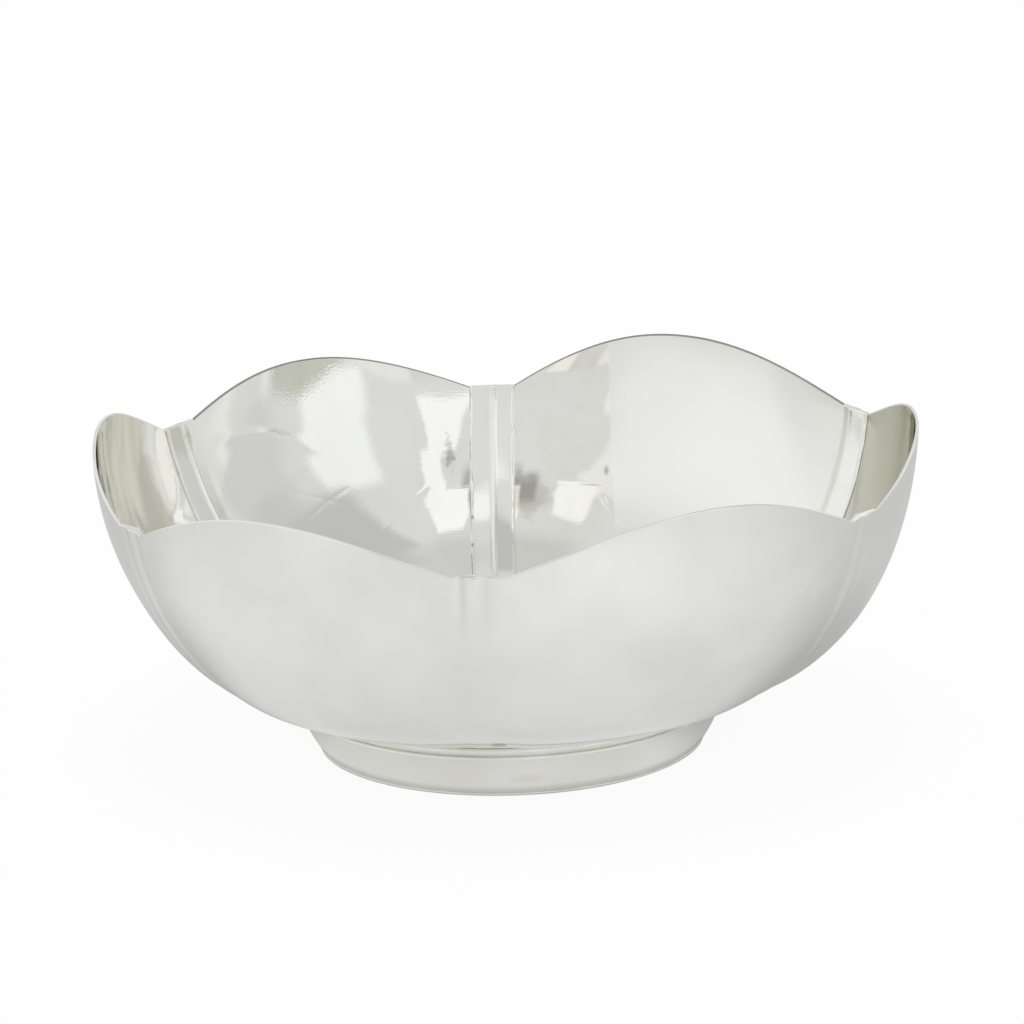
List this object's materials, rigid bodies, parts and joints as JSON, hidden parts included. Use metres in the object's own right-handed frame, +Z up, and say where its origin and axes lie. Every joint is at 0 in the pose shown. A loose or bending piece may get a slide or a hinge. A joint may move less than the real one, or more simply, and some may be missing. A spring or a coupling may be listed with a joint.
{
  "type": "decorative bowl",
  "caption": "Round silver bowl with petal-shaped wall lobes joined by folded straps, a wavy rim and a tapered foot ring; it stands on a table and holds fruit or small things.",
  "frame": {"origin": "centre of the plane that the foot rests on", "axes": "+Z up through the bowl's mouth, -Y towards the front fold, +X to the right seen from the front"},
  "size_m": [0.2561, 0.2534, 0.1029],
  "materials": {
    "lobe_silver": "hand-polished silver, bright, faintly wavy",
    "strap_silver": "hand-polished silver with soldered seams",
    "foot_silver": "hand-polished silver, slightly yellowed"
  },
  "bodies": {
    "root": {"lobe_back_right": "lobe_silver", "lobe_back_left": "lobe_silver", "lobe_left": "lobe_silver", "lobe_front_left": "lobe_silver", "lobe_front_right": "lobe_silver", "lobe_right": "lobe_silver", "strap_back_right": "strap_silver", "strap_back": "strap_silver", "strap_back_left": "strap_silver", "strap_front_left": "strap_silver", "strap_front": "strap_silver", "strap_front_right": "strap_silver", "floor_disc": "lobe_silver", "foot_bead": "foot_silver", "foot_band": "foot_silver", "foot_wire": "foot_silver"}
  },
  "joints": []
}
